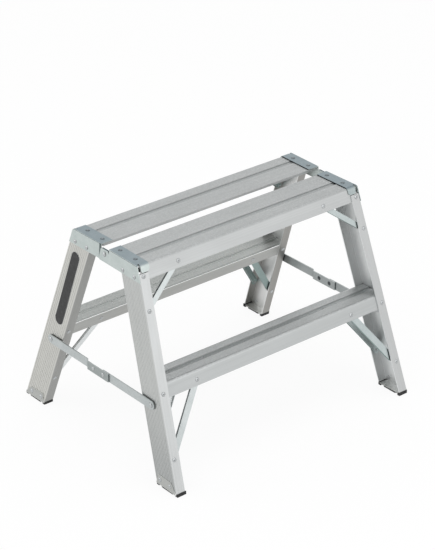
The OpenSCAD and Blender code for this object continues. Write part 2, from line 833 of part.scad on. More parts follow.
// Hinge: pins along X through the lapped ears, drawn at the left end of the stand.
// The front ear lies outside the rear one there, and the other way round at the right end.
module at_hinge() {
  translate([0, 0, hinge_z])
    rotate([0, 90, 0])
      children();
}
hinge_web_x = web_x(up_frame(hinge_z, base_depth / 2 * cos(lean) - hinge_z * sin(lean)));
ear_out = hinge_web_x + lap_shift / 2 + (cap_t + fit_gap) / cos(web_tilt);
ear_in = hinge_web_x - lap_shift / 2;
head_slant = pivot_head_r * tan(splay);
module hinge_pin() {
  from = -ear_out - turn_gap - head_slant;
  to = -ear_in + turn_gap + head_slant;
  at_hinge() {
    translate([0, 0, from]) {
      dome(pivot_head_r, pivot_head_h);
      cylinder(r = pivot_r, h = to - from + pivot_head_h / 2);
    }
    translate([0, 0, to])
      mirror([0, 0, 1])
        dome(pivot_head_r, pivot_head_h);
  }
}
module hinge_pins() color(bright_rivet)
  for (turn = [0, 180])
    rotate([0, 0, turn])
      hinge_pin();
// Washer on the outside of the inner ear, which it turns with
module hinge_washer() color(galvanised)
  intersection() {
    difference() {
      at_hinge()
        translate([0, 0, -base_len])
          cylinder(r = spacer_r, h = base_len);
      at_hinge()
        translate([0, 0, -2 * base_len])
          cylinder(r = pivot_r + pivot_gap, h = 3 * base_len);
    }
    along_leg()
      translate([-cap_t - 2 * fit_gap - hinge_washer_t, 0, 0])
        cube([hinge_washer_t, base_depth, 2 * frame_len]);
  }

// Spreaders: two flat bars at each end, turning on pivots through the webs
module at_spreader_pivot() {
  translate([0, -spreader_y, spreader_z])
    rotate([0, 90, 0])
      children();
}
module pivot_hole() {
  translate([0, 0, -base_len])
    cylinder(r = pivot_r + pivot_gap, h = base_len);
}
pivot_from = -spreader_web_x - spacer_t - bar_t - turn_gap;
pivot_to = -spreader_web_x + 2 * leg_web_t;
module spreader_pivot() {
  at_spreader_pivot()
    translate([0, 0, pivot_from]) {
      dome(pivot_head_r, pivot_head_h);
      cylinder(r = pivot_r, h = pivot_to - pivot_from);
    }
  intersection() {
    at_spreader_pivot()
      translate([0, 0, pivot_to - 2 * leg_web_t])
        cylinder(r = pivot_head_r, h = 2 * leg_web_t + rivet_tail_h);
    along_leg()
      translate([leg_web_t + fit_gap, 0, 0])
        cube([leg_flange_w, leg_web_w, 2 * frame_len]);
  }
}
module spreader_pivots() color(bright_rivet)
  both_ends()
    spreader_pivot();
module spreader_spacer() {
  difference() {
    intersection() {
      at_spreader_pivot()
        translate([0, 0, -spreader_web_x - spacer_t + fit_gap])
          cylinder(r = spacer_r, h = leg_flange_w);
      along_leg()
        translate([-fit_gap - leg_flange_w, 0, 0])
          cube([leg_flange_w, leg_web_w, 2 * frame_len]);
    }
    at_spreader_pivot() pivot_hole();
  }
}
module spreader_spacers() color(galvanised)
  both_ends()
    spreader_spacer();

// Bars, drawn from the face of the leg at X zero outwards to the left, in the stand's Y and Z
module bar_outline(from, to) {
  end_r = bar_w / 2;
  for (y = [from, to])
    translate([y, spreader_z])
      circle(r = end_r);
  translate([min(from, to), spreader_z - end_r])
    square([abs(to - from), bar_w]);
}
module bar_hole(y, r) {
  translate([-base_len, y, spreader_z])
    rotate([0, 90, 0])
      cylinder(r = r, h = 2 * base_len);
}
module front_bar() color(galvanised) {
  difference() {
    run_x(0, bar_t)
      bar_outline(-spreader_y, -stud_y);
    bar_hole(-spreader_y, pivot_r + pivot_gap);
    bar_hole(-stud_y, rivet_r + fit_gap);
  }
}
// The rear bar steps sideways past the front one, and its square end covers the lap
module rear_bar() color(galvanised) {
  difference() {
    intersection() {
      union() {
        run_x(-lap_step - bar_t, 2 * bar_t)
          bar_outline(spreader_y, joggle_y);
        translate([-lap_step - bar_t, -lap_reach, spreader_z - bar_w / 2])
          cube([lap_step + 3 * bar_t, lap_reach + joggle_y, bar_w]);
      }
      translate([0, 0, spreader_z - bar_w])
        linear_extrude(height = 2 * bar_w)
          polygon([
            [0, spreader_y + bar_w], [0, joggle_y + joggle_run], [-lap_step, joggle_y],
            [-lap_step, -lap_reach], [bar_t - lap_step, -lap_reach],
            [bar_t - lap_step, joggle_y], [bar_t, joggle_y + joggle_run],
            [bar_t, spreader_y + bar_w]]);
    }
    bar_hole(spreader_y, pivot_r + pivot_gap);
    for (y = [-stud_y, stud_y])
      bar_hole(y, rivet_r + fit_gap);
  }
}
// The centre pivot is split between the bars, so that each bar carries its own half
module front_bar_stud() color(bright_rivet)
  translate([bar_t + fit_gap, -stud_y, spreader_z])
    rotate([0, -90, 0]) {
      dome(rivet_head_r, rivet_head_h);
      cylinder(r = rivet_r, h = bar_t + fit_gap);
    }
module rear_bar_studs() color(bright_rivet)
  for (y = [-stud_y, stud_y])
    translate([-lap_step - fit_gap, y, spreader_z])
      rotate([0, 90, 0]) {
        dome(rivet_head_r, rivet_head_h);
        cylinder(r = rivet_r, h = bar_t + fit_gap);
      }
// The faces of the bars nearest the left, at each end of the stand
module at_bar(rear, right) {
  shift = (rear ? 1 : -1) * lap_shift / 2;
  out = spreader_web_x + spacer_t;
  translate([right ? out + shift : shift - out - bar_t, 0, 0])
    children();
}

// Nodes
module front_left_leg() place(false, false) leg();
module front_right_leg() place(false, true) leg();
module rear_left_leg() place(true, false) leg();
module rear_right_leg() place(true, true) leg();
module front_top_tread() on_frame(false) top_tread();
module rear_top_tread() on_frame(true) top_tread();
module front_lower_tread() on_frame(false) lower_tread();
module rear_lower_tread() on_frame(true) lower_tread();
module front_left_cap() place(false, false) cap();
module front_right_cap() place(false, true) cap();
module rear_left_cap() place(true, false) cap();
module rear_right_cap() place(true, true) cap();
module front_left_upper_brace() place(false, false) upper_brace();
module front_right_upper_brace() place(false, true) upper_brace();
module rear_left_upper_brace() place(true, false) upper_brace();
module rear_right_upper_brace() place(true, true) upper_brace();
module front_left_outer_brace() place(false, false) outer_brace();
module front_right_outer_brace() place(false, true) outer_brace();
module front_left_inner_brace() place(false, false) inner_brace();
module front_right_inner_brace() place(false, true) inner_brace();
module rear_left_outer_brace() place(true, false) outer_brace();
module rear_right_outer_brace() place(true, true) outer_brace();
module rear_left_inner_brace() place(true, false) inner_brace();
module rear_right_inner_brace() place(true, true) inner_brace();
module front_left_shoe() place(false, false) shoe();
module front_right_shoe() place(false, true) shoe();
module rear_left_shoe() place(true, false) shoe();
module rear_right_shoe() place(true, true) shoe();
module front_left_sole() place(false, false) sole();
module front_right_sole() place(false, true) sole();
module rear_left_sole() place(true, false) sole();
module rear_right_sole() place(true, true) sole();
module front_tread_rivets() on_frame(false) tread_rivets();
module rear_tread_rivets() on_frame(true) tread_rivets();
module front_cap_rivets() on_frame(false) cap_rivets();
module rear_cap_rivets() on_frame(true) cap_rivets();
module front_brace_rivets() on_frame(false) brace_rivets();
module rear_brace_rivets() on_frame(true) brace_rivets();
module front_shoe_rivets() on_frame(false) shoe_rivets();
module rear_shoe_rivets() on_frame(true) shoe_rivets();
module left_hinge_washer() place(true, false) hinge_washer();
module right_hinge_washer() place(false, true) hinge_washer();
module front_spreader_pivots() on_frame(false) spreader_pivots();
module rear_spreader_pivots() on_frame(true) spreader_pivots();
module front_spreader_spacers() on_frame(false) spreader_spacers();
module rear_spreader_spacers() on_frame(true) spreader_spacers();
module left_front_bar() at_bar(false, false) front_bar();
module right_front_bar() at_bar(false, true) front_bar();
module left_rear_bar() at_bar(true, false) rear_bar();
module right_rear_bar() at_bar(true, true) rear_bar();
module left_front_bar_stud() at_bar(false, false) front_bar_stud();
module right_front_bar_stud() at_bar(false, true) front_bar_stud();
module left_rear_bar_studs() at_bar(true, false) rear_bar_studs();
module right_rear_bar_studs() at_bar(true, true) rear_bar_studs();

front_left_leg();
front_right_leg();
rear_left_leg();
rear_right_leg();
front_top_tread();
rear_top_tread();
front_lower_tread();
rear_lower_tread();
front_left_cap();
front_right_cap();
rear_left_cap();
rear_right_cap();
front_left_upper_brace();
front_right_upper_brace();
rear_left_upper_brace();
rear_right_upper_brace();
front_left_outer_brace();
front_right_outer_brace();
front_left_inner_brace();
front_right_inner_brace();
rear_left_outer_brace();
rear_right_outer_brace();
rear_left_inner_brace();
rear_right_inner_brace();
front_left_shoe();
front_right_shoe();
rear_left_shoe();
rear_right_shoe();
front_left_sole();
front_right_sole();
rear_left_sole();
rear_right_sole();
front_tread_rivets();
rear_tread_rivets();
front_cap_rivets();
rear_cap_rivets();
front_brace_rivets();
rear_brace_rivets();
front_shoe_rivets();
rear_shoe_rivets();
hinge_pins();
left_hinge_washer();
right_hinge_washer();
front_spreader_pivots();
rear_spreader_pivots();
front_spreader_spacers();
rear_spreader_spacers();
left_front_bar();
right_front_bar();
left_rear_bar();
right_rear_bar();
left_front_bar_stud();
right_front_bar_stud();
left_rear_bar_studs();
right_rear_bar_studs();
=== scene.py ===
"""Folding work trestle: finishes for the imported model, the bare label on a rear leg,
the packings in the caps' corners, and a plain studio."""

import math

import bpy
from mathutils import Matrix, Vector


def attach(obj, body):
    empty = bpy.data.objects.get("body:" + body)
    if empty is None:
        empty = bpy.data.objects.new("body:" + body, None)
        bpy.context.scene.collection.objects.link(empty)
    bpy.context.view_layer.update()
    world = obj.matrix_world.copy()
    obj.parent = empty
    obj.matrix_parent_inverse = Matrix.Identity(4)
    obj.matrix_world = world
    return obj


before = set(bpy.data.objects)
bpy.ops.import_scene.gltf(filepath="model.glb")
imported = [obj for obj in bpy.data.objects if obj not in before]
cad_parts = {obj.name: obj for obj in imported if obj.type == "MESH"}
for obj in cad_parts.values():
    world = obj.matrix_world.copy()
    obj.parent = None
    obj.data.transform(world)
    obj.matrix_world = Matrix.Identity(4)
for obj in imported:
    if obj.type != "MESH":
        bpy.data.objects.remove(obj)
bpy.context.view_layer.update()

MM = 0.001

# Sizes repeated from the part's source, in millimetres
STAND_H = 577
BASE_LEN, TOP_LEN = 826, 752
BASE_DEPTH, TOP_DEPTH = 672, 276
DECK_Z, LOWER_TREAD_Z, CHANNEL_D = 574.9, 280.5, 2
JOGGLE_Y, HINGE_LAP_Y = 46, 25
LAP_SHIFT = 3.81

LEAN = math.atan((BASE_DEPTH - TOP_DEPTH) / 2 / STAND_H)
SPLAY = math.atan((BASE_LEN - TOP_LEN) / 2 / (STAND_H / math.cos(LEAN)))

# Directions in the part's frame
ALONG, OUT_LEFT, TO_REAR, TO_FRONT, UP, DOWN = (
    (1, 0, 0), (-1, 0, 0), (0, 1, 0), (0, -1, 0), (0, 0, 1), (0, 0, -1))

# Sizes of the finishes' patterns, in millimetres.
# Die lines are finer than a pixel, so they are drawn as far apart as they need to be to show.
DIE_LINE_GAP, DIE_LINE_LEN = 3, 900
OXIDE_CLOUD, OXIDE_CLOUD_LEN = 45, 150
ALUMINIUM_GRIT = 2
KNURL_GAP = 5
RIVET_WEAR = 2.5
ZINC_SPANGLE, ZINC_TINT, ZINC_SCUFF = 5, 38, 1.6
RUBBER_GRAIN, RUBBER_DUST = 1.2, 14
FILM_PEEL, FILM_RUB = 3, 9
# Heights of the bumps
FINE_BUMP, RUBBER_BUMP = 0.1, 0.2


def linear(hex_colour):
    """sRGB hex to the linear colour that Blender's sockets take."""
    out = []
    for i in (1, 3, 5):
        c = int(hex_colour[i:i + 2], 16) / 255
        out.append(c / 12.92 if c <= 0.04045 else ((c + 0.055) / 1.055) ** 2.4)
    return (*out, 1.0)


def put(tree, kind, inputs=None, stops=(), **settings):
    """Adds a node, sets its settings and a ramp's stops, and fills or links its inputs."""
    node = tree.nodes.new(kind)
    for key, value in settings.items():
        setattr(node, key, value)
    for key, value in (inputs or {}).items():
        if isinstance(value, bpy.types.NodeSocket):
            tree.links.new(value, node.inputs[key])
        else:
            node.inputs[key].default_value = value
    for i, (place, colour) in enumerate(stops):
        elements = node.color_ramp.elements
        element = elements[i] if i < len(elements) else elements.new(place)
        element.position = place
        element.color = linear(colour)
    return node


def new_material(name):
    mat = bpy.data.materials.new(name)
    mat.use_nodes = True
    mat.node_tree.nodes.clear()
    return mat, mat.node_tree


def leg_matrix(rear, right):
    """Axes of a leg: X inwards from its web, Y inwards from its outer flange, Z up the leg."""
    m = Matrix.Translation((-BASE_LEN / 2 * MM, 0, 0)) @ Matrix.Rotation(SPLAY, 4, "Y")
    m = Matrix.Translation((0, -BASE_DEPTH / 2 * MM, 0)) @ Matrix.Rotation(-LEAN, 4, "X") @ m
    if right != rear:
        m = Matrix.Scale(-1, 4, (1, 0, 0)) @ m
    m = Matrix.Translation((-LAP_SHIFT / 2 * MM, 0, 0)) @ m
    return Matrix.Rotation(math.pi if rear else 0, 4, "Z") @ m


def painted_crevice_shade(t, colour, reach, full, none, painted_shade):
    """Darkens a colour with painted shade where other surfaces stand near: laps, seams and the foot
    of a rivet's head.
    Full and none are the shares of open surroundings at which the painted shade is darkest and
    gone."""
    near = put(t, "ShaderNodeAmbientOcclusion", {"Distance": reach * MM}, samples=8)
    amount = put(t, "ShaderNodeMapRange",
                 {"Value": near.outputs["AO"], "From Min": full, "From Max": none,
                  "To Min": 1.0, "To Max": 0.0})
    return put(t, "ShaderNodeMix", {0: amount.outputs[0], 6: colour, 7: linear(painted_shade)},
               data_type="RGBA").outputs[2]


def extruded_aluminium(name, colour, dark, along, rough, tints=(), gutter=None, wall_highlight=None):
    """Mill finish extrusion: die lines along its length, soft cloudy oxide, a dull sheen.
    A tint is a direction, how squarely a face looks that way where the tint is nil and full,
    its colour, and the height at which it fades out, or nothing where it has any height.
    A gutter is the height of a drain channel's floor and the colour of the painted shade on it.
    Wall highlight is the colour of the painted highlight on a channel's walls and deck edges, which
    then get no painted crevice shade."""
    mat, t = new_material(name)
    coords = put(t, "ShaderNodeTexCoord")
    # Turns the pattern so that its Z runs along the extrusion
    turn = Vector(along).to_track_quat("Z", "Y").inverted().to_euler()
    turned = put(t, "ShaderNodeMapping", {"Vector": coords.outputs["Object"], "Rotation": turn})
    die_scale = 1 / (DIE_LINE_GAP * MM)
    lines = put(t, "ShaderNodeMapping",
                {"Vector": turned.outputs[0],
                 "Scale": (die_scale, die_scale, 1 / (DIE_LINE_LEN * MM))})
    die = put(t, "ShaderNodeTexNoise",
              {"Vector": lines.outputs[0], "Scale": 1.0, "Detail": 3.0, "Roughness": 0.6})
    # Oxide clouds are drawn out along the extrusion
    cloud_scale = 1 / (OXIDE_CLOUD * MM)
    cloud_map = put(t, "ShaderNodeMapping",
                    {"Vector": turned.outputs[0],
                     "Scale": (cloud_scale, cloud_scale, 1 / (OXIDE_CLOUD_LEN * MM))})
    cloud = put(t, "ShaderNodeTexNoise",
                {"Vector": cloud_map.outputs[0], "Scale": 1.0, "Detail": 4.0, "Roughness": 0.55})
    # Handling marks and grit
    grit = put(t, "ShaderNodeTexNoise",
               {"Vector": turned.outputs[0], "Scale": 1 / (ALUMINIUM_GRIT * MM),
                "Detail": 2.0, "Roughness": 0.7})
    tone = put(t, "ShaderNodeMath", {0: die.outputs["Fac"], 1: 0.6}, operation="MULTIPLY")
    tone = put(t, "ShaderNodeMath", {0: cloud.outputs["Fac"], 1: 0.4, 2: tone.outputs[0]},
               operation="MULTIPLY_ADD")
    shade = put(t, "ShaderNodeValToRGB", {"Fac": tone.outputs[0]},
                [(0.32, dark), (0.64, colour)]).outputs[0]
    place = put(t, "ShaderNodeSeparateXYZ", {"Vector": coords.outputs["Object"]})
    for direction, nil, full, tint, below in tints:
        facing = put(t, "ShaderNodeVectorMath", {0: coords.outputs["Normal"], 1: direction},
                     operation="DOT_PRODUCT")
        share = put(t, "ShaderNodeMapRange",
                    {"Value": facing.outputs["Value"], "From Min": nil, "From Max": full})
        if below:
            low = put(t, "ShaderNodeMapRange",
                      {"Value": place.outputs["Z"], "From Min": below * MM, "From Max": 0.0})
            share = put(t, "ShaderNodeMath", {0: share.outputs[0], 1: low.outputs[0]},
                        operation="MULTIPLY")
        shade = put(t, "ShaderNodeMix", {0: share.outputs[0], 6: shade, 7: linear(tint)},
                    data_type="RGBA", blend_type="MULTIPLY").outputs[2]
    if gutter:
        floor_z, painted_shade = gutter
        facing = put(t, "ShaderNodeSeparateXYZ", {"Vector": coords.outputs["Normal"]})
        # The ridges are knurled across, which gives the deck a grain
        knurl = put(t, "ShaderNodeTexVoronoi",
                    {"Vector": coords.outputs["Object"], "Scale": 1 / (KNURL_GAP * MM),
                     "Randomness": 0.8})
        grain = put(t, "ShaderNodeValToRGB", {"Fac": knurl.outputs["Distance"]},
                    [(0.15, "#ffffff"), (0.65, "#ebecec")])
        upward = put(t, "ShaderNodeMapRange",
                     {"Value": facing.outputs["Z"], "From Min": 0.5, "From Max": 0.9})
        shade = put(t, "ShaderNodeMix", {0: upward.outputs[0], 6: shade, 7: grain.outputs[0]},
                    data_type="RGBA", blend_type="MULTIPLY").outputs[2]
        # Painted shade on the drain channel's floor
        low = put(t, "ShaderNodeMapRange",
                  {"Value": place.outputs["Z"], "From Min": (floor_z + 0.9) * MM,
                   "From Max": (floor_z + 0.2) * MM})
        level = put(t, "ShaderNodeMapRange",
                    {"Value": facing.outputs["Z"], "From Min": 0.96, "From Max": 0.99})
        share = put(t, "ShaderNodeMath", {0: low.outputs[0], 1: level.outputs[0]},
                    operation="MULTIPLY")
        shade = put(t, "ShaderNodeMix", {0: share.outputs[0], 6: shade, 7: linear(painted_shade)},
                    data_type="RGBA", blend_type="MULTIPLY").outputs[2]
    # Painted highlight on the channel's walls and the deck's edges
    if wall_highlight:
        steep = put(t, "ShaderNodeMapRange",
                    {"Value": facing.outputs["Z"], "From Min": 0.7, "From Max": 0.5})
        high = put(t, "ShaderNodeMath", {0: place.outputs["Z"], 1: (floor_z - 0.8) * MM},
                   operation="GREATER_THAN")
        share = put(t, "ShaderNodeMath", {0: steep.outputs[0], 1: high.outputs[0]},
                    operation="MULTIPLY")
        shade = put(t, "ShaderNodeMix", {0: share.outputs[0], 6: shade, 7: linear(wall_highlight)},
                    data_type="RGBA").outputs[2]
    else:
        # Painted shade in crevices
        shade = painted_crevice_shade(t, shade, reach=5, full=0.15, none=0.42, painted_shade="#55585a")
    rough_map = put(t, "ShaderNodeMapRange",
                    {"Value": tone.outputs[0], "From Min": 0.3, "From Max": 0.7,
                     "To Min": rough + 0.06, "To Max": rough - 0.04})
    height = put(t, "ShaderNodeMath", {0: grit.outputs["Fac"], 1: 0.3, 2: die.outputs["Fac"]},
                 operation="MULTIPLY_ADD")
    bump = put(t, "ShaderNodeBump",
               {"Height": height.outputs[0], "Strength": 0.2, "Distance": FINE_BUMP * MM})
    shader = put(t, "ShaderNodeBsdfPrincipled",
                 {"Base Color": shade, "Metallic": 1.0, "Roughness": rough_map.outputs[0],
                  "Normal": bump.outputs[0]})
    put(t, "ShaderNodeOutputMaterial", {"Surface": shader.outputs[0]})
    return mat


def bright_rivet(name, axes, top, shaded_side=None):
    """Bright rivet: satin head with a painted shadow line round its foot, and a duller, grey
    dimple.
    The axes are the ways in which the heads look. Heads that look up take the top colour.
    A shaded side darkens the heads' faces that look that way, as painted shade."""
    mat, t = new_material(name)
    coords = put(t, "ShaderNodeTexCoord")
    worn = put(t, "ShaderNodeTexNoise",
               {"Vector": coords.outputs["Object"], "Scale": 1 / (RIVET_WEAR * MM), "Detail": 3.0})
    shade = put(t, "ShaderNodeValToRGB", {"Fac": worn.outputs["Fac"]},
                [(0.35, "#b2b5b6"), (0.65, "#c0c3c4")]).outputs[0]
    up = put(t, "ShaderNodeSeparateXYZ", {"Vector": coords.outputs["Normal"]})
    share = put(t, "ShaderNodeMapRange",
                {"Value": up.outputs["Z"], "From Min": 0.7, "From Max": 0.9})
    shade = put(t, "ShaderNodeMix", {0: share.outputs[0], 6: shade, 7: linear(top)},
                data_type="RGBA").outputs[2]
    # A dimple's walls slope more than the head does
    square = 0.0
    for axis in axes:
        facing = put(t, "ShaderNodeVectorMath", {0: coords.outputs["Normal"], 1: axis},
                     operation="DOT_PRODUCT")
        square = put(t, "ShaderNodeMath", {0: facing.outputs["Value"], 1: square},
                     operation="MAXIMUM").outputs[0]
    head = put(t, "ShaderNodeMapRange", {"Value": square, "From Min": 0.76, "From Max": 0.8})
    # Painted shadow line round the foot of the head
    shaded_head = painted_crevice_shade(t, shade, reach=4, full=0.95, none=0.998, painted_shade="#111314")
    # Painted shade on the heads' faces that look the shaded way
    if shaded_side:
        leaning = put(t, "ShaderNodeVectorMath", {0: coords.outputs["Normal"], 1: shaded_side},
                      operation="DOT_PRODUCT")
        share = put(t, "ShaderNodeMapRange",
                    {"Value": leaning.outputs["Value"], "From Min": 0.35, "From Max": 0.55})
        shaded_head = put(t, "ShaderNodeMix", {0: share.outputs[0], 6: shaded_head, 7: linear("#4a4e50")},
                    data_type="RGBA").outputs[2]
    shade = put(t, "ShaderNodeMix", {0: head.outputs[0], 6: linear("#a3a6a7"), 7: shaded_head},
                data_type="RGBA").outputs[2]
    rough = put(t, "ShaderNodeMapRange",
                {"Value": worn.outputs["Fac"], "To Min": 0.28, "To Max": 0.4})
    bump = put(t, "ShaderNodeBump",
               {"Height": worn.outputs["Fac"], "Strength": 0.1, "Distance": FINE_BUMP * MM})
    shader = put(t, "ShaderNodeBsdfPrincipled",
                 {"Base Color": shade, "Metallic": 1.0, "Roughness": rough.outputs[0],
                  "Normal": bump.outputs[0]})
    put(t, "ShaderNodeOutputMaterial", {"Surface": shader.outputs[0]})
    return mat


def zinc_plate(name, colour, dark, rough, top=None, shaded=None, edge=None, lap=None, crevice_shading=True):
    """Zinc plated sheet steel: faint blue-green passivation, small crystal spangle, scuffs.
    Top is the duller, bluer colours of the top faces: painted shade.
    Shaded is a direction, and the colour of painted shade on the faces that look that way.
    An edge is the height above which the sheet's cut edges across the deck are black: a painted
    shadow line.
    A lap is how far back from the middle one sheet lies against another, and the painted shade on
    it there."""
    mat, t = new_material(name)
    coords = put(t, "ShaderNodeTexCoord")
    # Crystals, only just seen
    spangle = put(t, "ShaderNodeTexVoronoi",
                  {"Vector": coords.outputs["Object"], "Scale": 1 / (ZINC_SPANGLE * MM)})
    tint = put(t, "ShaderNodeTexNoise",
               {"Vector": coords.outputs["Object"], "Scale": 1 / (ZINC_TINT * MM), "Detail": 3.0})
    scuff = put(t, "ShaderNodeTexNoise",
                {"Vector": coords.outputs["Object"], "Scale": 1 / (ZINC_SCUFF * MM),
                 "Detail": 3.0, "Roughness": 0.7})
    level = put(t, "ShaderNodeMath", {0: spangle.outputs["Color"], 1: 0.25}, operation="MULTIPLY")
    level = put(t, "ShaderNodeMath", {0: tint.outputs["Fac"], 1: 0.75, 2: level.outputs[0]},
                operation="MULTIPLY_ADD")
    shade = put(t, "ShaderNodeValToRGB", {"Fac": level.outputs[0]},
                [(0.28, dark), (0.66, colour)]).outputs[0]
    facing = put(t, "ShaderNodeSeparateXYZ", {"Vector": coords.outputs["Normal"]})
    place = put(t, "ShaderNodeSeparateXYZ", {"Vector": coords.outputs["Object"]})
    # Painted shade on the top faces
    if top:
        top_shade = put(t, "ShaderNodeValToRGB", {"Fac": level.outputs[0]},
                     [(0.28, top[1]), (0.66, top[0])])
        share = put(t, "ShaderNodeMapRange",
                    {"Value": facing.outputs["Z"], "From Min": 0.55, "From Max": 0.9})
        shade = put(t, "ShaderNodeMix", {0: share.outputs[0], 6: shade, 7: top_shade.outputs[0]},
                    data_type="RGBA").outputs[2]
    # Painted shade on the faces that look the shaded way
    if shaded:
        direction, painted_shade = shaded
        away = put(t, "ShaderNodeVectorMath", {0: coords.outputs["Normal"], 1: direction},
                   operation="DOT_PRODUCT")
        share = put(t, "ShaderNodeMapRange",
                    {"Value": away.outputs["Value"], "From Min": 0.1, "From Max": 0.3})
        shade = put(t, "ShaderNodeMix", {0: share.outputs[0], 6: shade, 7: linear(painted_shade)},
                    data_type="RGBA", blend_type="MULTIPLY").outputs[2]
    if edge or lap:
        across = put(t, "ShaderNodeMath", {0: facing.outputs["X"]}, operation="ABSOLUTE")
    # Painted shadow line on the cut edges across the deck
    if edge:
        square = put(t, "ShaderNodeMath", {0: across.outputs[0], 1: 0.9}, operation="GREATER_THAN")
        high = put(t, "ShaderNodeMath", {0: place.outputs["Z"], 1: edge * MM},
                   operation="GREATER_THAN")
        share = put(t, "ShaderNodeMath", {0: square.outputs[0], 1: high.outputs[0]},
                    operation="MULTIPLY")
        shade = put(t, "ShaderNodeMix", {0: share.outputs[0], 6: shade, 7: linear("#1a1c1d")},
                    data_type="RGBA").outputs[2]
    # Painted shade where one sheet lies against another
    if lap:
        lap_y, lap_shade = lap
        near = put(t, "ShaderNodeMapRange",
                   {"Value": place.outputs["Y"], "From Min": (lap_y + 3) * MM,
                    "From Max": lap_y * MM})
        square = put(t, "ShaderNodeMath", {0: across.outputs[0], 1: 0.7}, operation="GREATER_THAN")
        share = put(t, "ShaderNodeMath", {0: near.outputs[0], 1: square.outputs[0]},
                    operation="MULTIPLY")
        shade = put(t, "ShaderNodeMix", {0: share.outputs[0], 6: shade, 7: linear(lap_shade)},
                    data_type="RGBA", blend_type="MULTIPLY").outputs[2]
    # Painted shade in crevices
    if crevice_shading:
        shade = painted_crevice_shade(t, shade, reach=7, full=0.35, none=0.8, painted_shade="#3d4446")
    rough_map = put(t, "ShaderNodeMapRange",
                    {"Value": scuff.outputs["Fac"], "From Min": 0.3, "From Max": 0.7,
                     "To Min": rough - 0.05, "To Max": rough + 0.09})
    bump = put(t, "ShaderNodeBump",
               {"Height": scuff.outputs["Fac"], "Strength": 0.15, "Distance": FINE_BUMP * MM})
    shader = put(t, "ShaderNodeBsdfPrincipled",
                 {"Base Color": shade, "Metallic": 1.0, "Roughness": rough_map.outputs[0],
                  "Normal": bump.outputs[0]})
    put(t, "ShaderNodeOutputMaterial", {"Surface": shader.outputs[0]})
    return mat


def moulded_rubber(name):
    """Black moulded rubber: matt, with a fine grain and dusty patches."""
    mat, t = new_material(name)
    coords = put(t, "ShaderNodeTexCoord")
    grain = put(t, "ShaderNodeTexNoise",
                {"Vector": coords.outputs["Object"], "Scale": 1 / (RUBBER_GRAIN * MM),
                 "Detail": 3.0})
    dust = put(t, "ShaderNodeTexNoise",
               {"Vector": coords.outputs["Object"], "Scale": 1 / (RUBBER_DUST * MM),
                "Detail": 4.0})
    shade = put(t, "ShaderNodeValToRGB", {"Fac": dust.outputs["Fac"]},
                [(0.4, "#121213"), (0.75, "#2a2a2b")])
    bump = put(t, "ShaderNodeBump",
               {"Height": grain.outputs["Fac"], "Strength": 0.4, "Distance": RUBBER_BUMP * MM})
    rough = put(t, "ShaderNodeMapRange",
                {"Value": grain.outputs["Fac"], "To Min": 0.6, "To Max": 0.85})
    shader = put(t, "ShaderNodeBsdfPrincipled",
                 {"Base Color": shade.outputs[0], "Roughness": rough.outputs[0],
                  "Normal": bump.outputs[0]})
    put(t, "ShaderNodeOutputMaterial", {"Surface": shader.outputs[0]})
    return mat


def label_film(name, colour, light):
    """Vinyl film: satin, with a faint orange-peel and small rubbed specks."""
    mat, t = new_material(name)
    coords = put(t, "ShaderNodeTexCoord")
    peel = put(t, "ShaderNodeTexNoise",
               {"Vector": coords.outputs["Object"], "Scale": 1 / (FILM_PEEL * MM), "Detail": 2.0})
    rub = put(t, "ShaderNodeTexNoise",
              {"Vector": coords.outputs["Object"], "Scale": 1 / (FILM_RUB * MM),
               "Detail": 5.0, "Roughness": 0.7})
    shade = put(t, "ShaderNodeValToRGB", {"Fac": rub.outputs["Fac"]},
                [(0.45, colour), (0.8, light)])
    rough = put(t, "ShaderNodeMapRange",
                {"Value": rub.outputs["Fac"], "To Min": 0.4, "To Max": 0.6})
    bump = put(t, "ShaderNodeBump",
               {"Height": peel.outputs["Fac"], "Strength": 0.15, "Distance": FINE_BUMP * MM})
    shader = put(t, "ShaderNodeBsdfPrincipled",
                 {"Base Color": shade.outputs[0], "Roughness": rough.outputs[0],
                  "Normal": bump.outputs[0]})
    put(t, "ShaderNodeOutputMaterial", {"Surface": shader.outputs[0]})
    return mat


# Finishes of the imported nodes.
# Painted shade on faces that look down at the shaded floor under the stand.
UNDER = (DOWN, 0.1, 0.3, "#d6d7d9", None)
# The treads are one extrusion in lighter and darker copies, as painted light and shade; their tints
# towards the front and up are painted shade
top_tread_finish = extruded_aluminium(
    "mill_aluminium_top_tread", "#bfc1c1", "#b7b9b9", ALONG, rough=0.44,
    tints=[UNDER], gutter=(DECK_Z - CHANNEL_D, "#eff0f0"))
lower_tread_finish = extruded_aluminium(
    "mill_aluminium_lower_tread", "#cccece", "#c5c7c7", ALONG, rough=0.44,
    tints=[UNDER, (TO_FRONT, 0.5, 0.9, "#e7e8e8", None)],
    gutter=(LOWER_TREAD_Z - CHANNEL_D, "#eceded"))
rear_lower_tread_finish = extruded_aluminium(
    "mill_aluminium_rear_lower_tread", "#c6c8c6", "#bdbfbd", ALONG, rough=0.46,
    tints=[(TO_FRONT, 0.5, 0.9, "#ecebea", None), (UP, 0.5, 0.9, "#f0f2f1", None)],
    gutter=(LOWER_TREAD_Z - CHANNEL_D, "#fafafa"), wall_highlight="#f6f7f7")
# Painted shade on the shoe's faces that look either way along the stand
shoe_finish = extruded_aluminium(
    "mill_aluminium_shoe", "#e2e3e1", "#dadbd9", TO_REAR, rough=0.42,
    tints=[(side, 0.6, 0.9, "#cdcecd", None) for side in (OUT_LEFT, ALONG)])

# Zinc of the caps and of the bars: colour, dark colour, roughness, and the colours of the tops,
# which are painted shade
CAP_ZINC = ("#c2cac8", "#b6bfbd", 0.38, ("#94a0a5", "#8a969b"))
BAR_ZINC = ("#bfc4c4", "#b3b9b9", 0.38)
